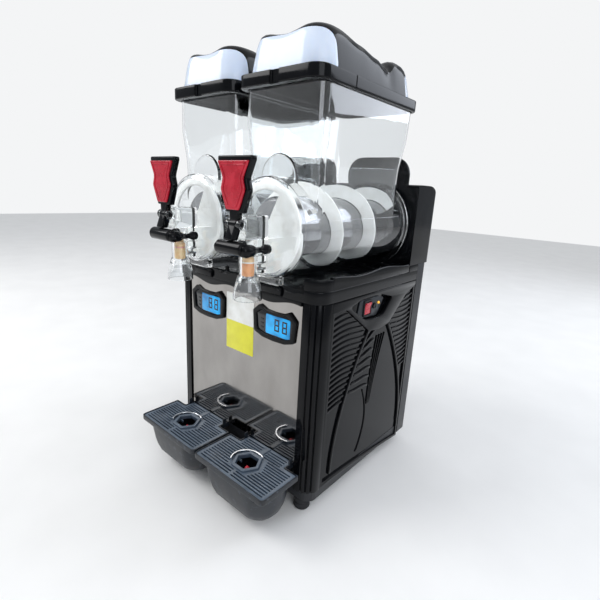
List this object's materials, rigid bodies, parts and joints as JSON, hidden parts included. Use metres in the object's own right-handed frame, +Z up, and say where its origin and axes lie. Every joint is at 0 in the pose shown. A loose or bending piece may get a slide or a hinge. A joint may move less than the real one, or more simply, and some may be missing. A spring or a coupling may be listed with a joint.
{
  "type": "slush machine",
  "caption": "Counter-top slush dispenser with side-by-side clear bowls, augers, taps with paddle levers, drip trays and a refrigerated base.",
  "frame": {"origin": "on the table, under the middle of the machine's footprint box", "axes": "+Z up; the machine faces -Y, so its taps are at -Y and its rear cover at +Y; +X is to the right seen from the front"},
  "size_m": [0.4, 0.514, 0.838],
  "materials": {
    "gloss_black": "injection moulded ABS, high gloss",
    "polished_steel": "bright polished stainless sheet",
    "satin_steel": "satin stainless",
    "painted_steel": "black powder coat",
    "clear_plastic": "clear moulded polycarbonate",
    "pale_lens": "pale translucent lens",
    "red_plastic": "red ABS, slightly worn gloss",
    "slate_plastic": "dark blue-grey moulded plastic",
    "white_plastic": "white acetal",
    "cream_plastic": "cream and orange acetal",
    "display_glass": "lit liquid crystal display behind clear plastic",
    "black_rubber": "moulded rubber",
    "raw_aluminium": "mill finish",
    "circuit_board": "solder resist"
  },
  "bodies": {
    "machine": {"base_pan": "painted_steel", "foot_front_left": "black_rubber", "foot_front_right": "black_rubber", "foot_rear_left": "black_rubber", "foot_rear_right": "black_rubber", "front_panel": "polished_steel", "corner_post_left": "gloss_black", "corner_post_right": "gloss_black", "side_panel_left": "gloss_black", "side_panel_right": "gloss_black", "rear_panel": "painted_steel", "power_inlet": "black_rubber", "top_deck": "gloss_black", "rear_cover": "gloss_black", "switch_plate": "slate_plastic", "compressor": "painted_steel", "condenser": "raw_aluminium", "fan_motor": "painted_steel", "control_board": "circuit_board", "display_bezel_left": "gloss_black", "display_window_left": "display_glass", "evaporator_drum_left": "satin_steel", "bowl_seal_left": "black_rubber", "gear_motor_left": "painted_steel", "display_bezel_right": "gloss_black", "display_window_right": "display_glass", "evaporator_drum_right": "satin_steel", "bowl_seal_right": "black_rubber", "gear_motor_right": "painted_steel"},
    "rocker": {"rocker_switch": "red_plastic"},
    "fan": {"fan_blades": "raw_aluminium"},
    "auger_left": {"auger_left": "white_plastic", "drive_shaft_left": "satin_steel"},
    "bowl_left": {"bowl_left": "clear_plastic"},
    "lid_left": {"lid_cover_left": "gloss_black", "lid_front_lens_left": "pale_lens", "lid_rear_lens_left": "pale_lens"},
    "tap_left": {"tap_handle_left": "gloss_black", "tap_handle_insert_left": "red_plastic", "tap_yoke_left": "gloss_black"},
    "piston_left": {"tap_piston_left": "cream_plastic"},
    "tray_left": {"drip_tray_left": "slate_plastic"},
    "grate_left": {"drip_grate_left": "slate_plastic"},
    "latch_left": {"bowl_latch_left": "gloss_black"},
    "auger_right": {"auger_right": "white_plastic", "drive_shaft_right": "satin_steel"},
    "bowl_right": {"bowl_right": "clear_plastic"},
    "lid_right": {"lid_cover_right": "gloss_black", "lid_front_lens_right": "pale_lens", "lid_rear_lens_right": "pale_lens"},
    "tap_right": {"tap_handle_right": "gloss_black", "tap_handle_insert_right": "red_plastic", "tap_yoke_right": "gloss_black"},
    "piston_right": {"tap_piston_right": "cream_plastic"},
    "tray_right": {"drip_tray_right": "slate_plastic"},
    "grate_right": {"drip_grate_right": "slate_plastic"},
    "latch_right": {"bowl_latch_right": "gloss_black"}
  },
  "joints": [
    {"name": "rocker_switch_tilt", "type": "hinge", "parent": "machine", "child": "rocker", "pos_m": [0.1935, 0.008, 0.388], "axis": [0, 1, 0], "range_deg": [-16, 0]},
    {"name": "fan_spin", "type": "hinge", "parent": "machine", "child": "fan", "pos_m": [0.139, 0.052, 0.17], "axis": [1, 0, 0], "continuous": true},
    {"name": "auger_left_spin", "type": "hinge", "parent": "machine", "child": "auger_left", "pos_m": [-0.096, 0, 0.536], "axis": [0, 1, 0], "continuous": true},
    {"name": "bowl_left_pull", "type": "slide", "parent": "machine", "child": "bowl_left", "axis": [0, -1, 0], "range_m": [0, 0.33]},
    {"name": "lid_left_lift", "type": "slide", "parent": "bowl_left", "child": "lid_left", "axis": [0, 0, 1], "range_m": [0, 0.12]},
    {"name": "tap_left_pull", "type": "hinge", "parent": "bowl_left", "child": "tap_left", "pos_m": [-0.096, -0.239, 0.545], "axis": [1, 0, 0], "range_deg": [0, 14], "stiffness_Nm_per_rad": 0.6},
    {"name": "piston_left_lift", "type": "slide", "parent": "bowl_left", "child": "piston_left", "axis": [0, 0, 1], "range_m": [0, 0.0081]},
    {"name": "tray_left_pull", "type": "slide", "parent": "machine", "child": "tray_left", "axis": [0, -1, 0], "range_m": [0, 0.13]},
    {"name": "grate_left_lift", "type": "slide", "parent": "tray_left", "child": "grate_left", "axis": [0, 0, 1], "range_m": [0, 0.06]},
    {"name": "latch_left_flip", "type": "hinge", "parent": "machine", "child": "latch_left", "pos_m": [-0.096, -0.1518, 0.423], "axis": [1, 0, 0], "range_deg": [0, 60]},
    {"name": "auger_right_spin", "type": "hinge", "parent": "machine", "child": "auger_right", "pos_m": [0.096, 0, 0.536], "axis": [0, 1, 0], "continuous": true},
    {"name": "bowl_right_pull", "type": "slide", "parent": "machine", "child": "bowl_right", "axis": [0, -1, 0], "range_m": [0, 0.33]},
    {"name": "lid_right_lift", "type": "slide", "parent": "bowl_right", "child": "lid_right", "axis": [0, 0, 1], "range_m": [0, 0.12]},
    {"name": "tap_right_pull", "type": "hinge", "parent": "bowl_right", "child": "tap_right", "pos_m": [0.096, -0.239, 0.545], "axis": [1, 0, 0], "range_deg": [0, 14], "stiffness_Nm_per_rad": 0.6},
    {"name": "piston_right_lift", "type": "slide", "parent": "bowl_right", "child": "piston_right", "axis": [0, 0, 1], "range_m": [0, 0.0081]},
    {"name": "tray_right_pull", "type": "slide", "parent": "machine", "child": "tray_right", "axis": [0, -1, 0], "range_m": [0, 0.13]},
    {"name": "grate_right_lift", "type": "slide", "parent": "tray_right", "child": "grate_right", "axis": [0, 0, 1], "range_m": [0, 0.06]},
    {"name": "latch_right_flip", "type": "hinge", "parent": "machine", "child": "latch_right", "pos_m": [0.096, -0.1518, 0.423], "axis": [1, 0, 0], "range_deg": [0, 60]}
  ],
  "couplings": [
    {"joint": "piston_left_lift", "follows": "tap_left_pull", "m_per_rad": 0.0327},
    {"joint": "piston_right_lift", "follows": "tap_right_pull", "m_per_rad": 0.0327}
  ]
}
